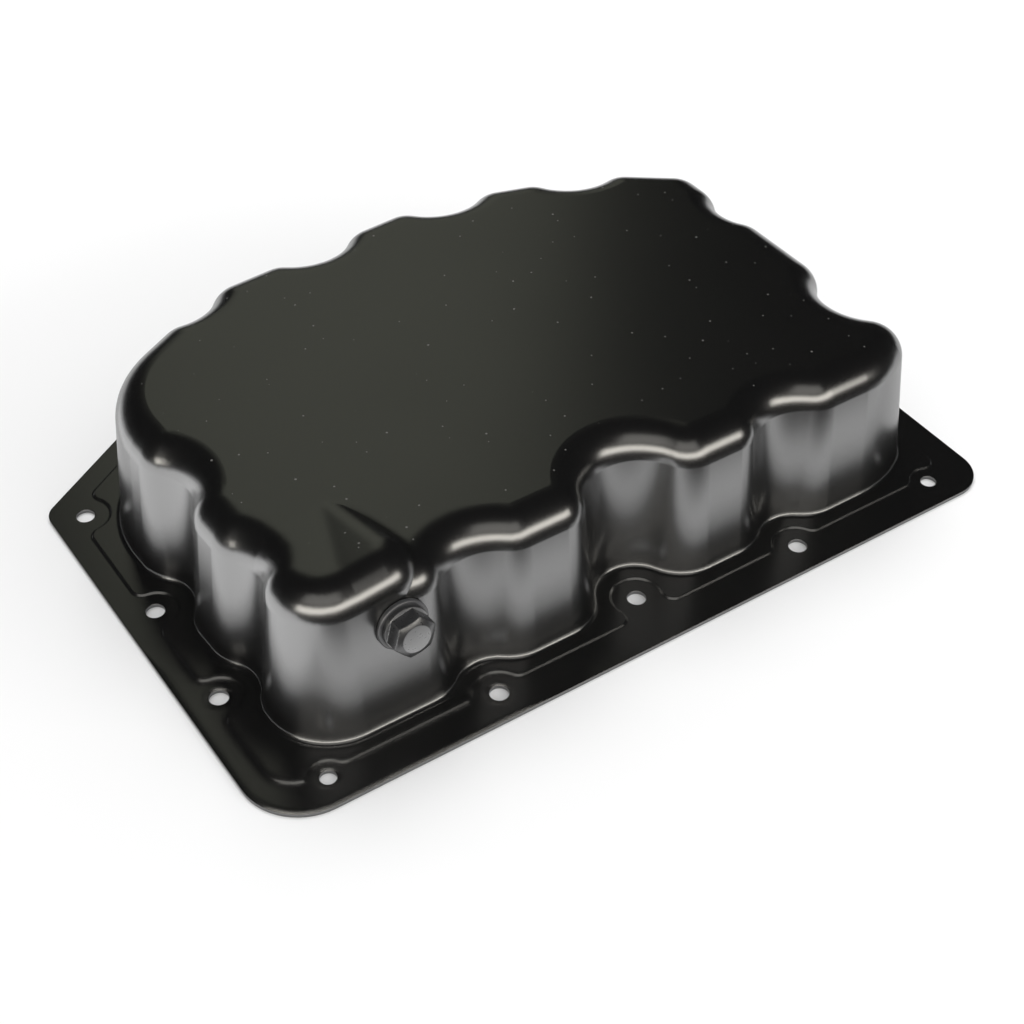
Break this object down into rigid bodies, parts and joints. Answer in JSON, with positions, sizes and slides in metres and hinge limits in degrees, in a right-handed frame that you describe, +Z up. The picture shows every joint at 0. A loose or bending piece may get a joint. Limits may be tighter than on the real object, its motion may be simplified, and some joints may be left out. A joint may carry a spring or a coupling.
{
  "type": "engine oil pan",
  "caption": "Shallow pressed-steel engine oil pan with a wide bolting flange, walls coved round the bolts, a sump that deepens towards one corner and a removable hex drain plug.",
  "frame": {"origin": "middle of the flange's bounding box, on the flat mating face", "axes": "+X along the long front edge, away from the drain plug; +Y from the drain plug's side to the three-sided back edge; +Z up through the pan's floor, away from the engine, so the pan stands on its flange with its open side down"},
  "size_m": [0.31, 0.2345, 0.0663],
  "materials": {
    "black_paint": "satin black electrocoat paint over pressed steel",
    "gasket": "dull grey crush washer",
    "plug_finish": "black oxide steel, worn bright along its edges"
  },
  "bodies": {
    "pan": {"oil_pan": "black_paint", "drain_boss": "black_paint"},
    "gasket": {"drain_gasket": "gasket"},
    "plug": {"drain_plug": "plug_finish"}
  },
  "joints": [
    {"name": "plug_travel", "type": "slide", "parent": "pan", "child": "gasket", "axis": [0, -0.9959, 0.0906], "range_m": [0, 0.00875]},
    {"name": "plug_spin", "type": "hinge", "parent": "gasket", "child": "plug", "pos_m": [-0.0921, -0.09384, 0.043], "axis": [0, -0.9959, 0.0906], "range_deg": [0, 2520]}
  ],
  "couplings": [
    {"joint": "plug_spin", "follows": "plug_travel", "rad_per_m": 5026.5}
  ]
}
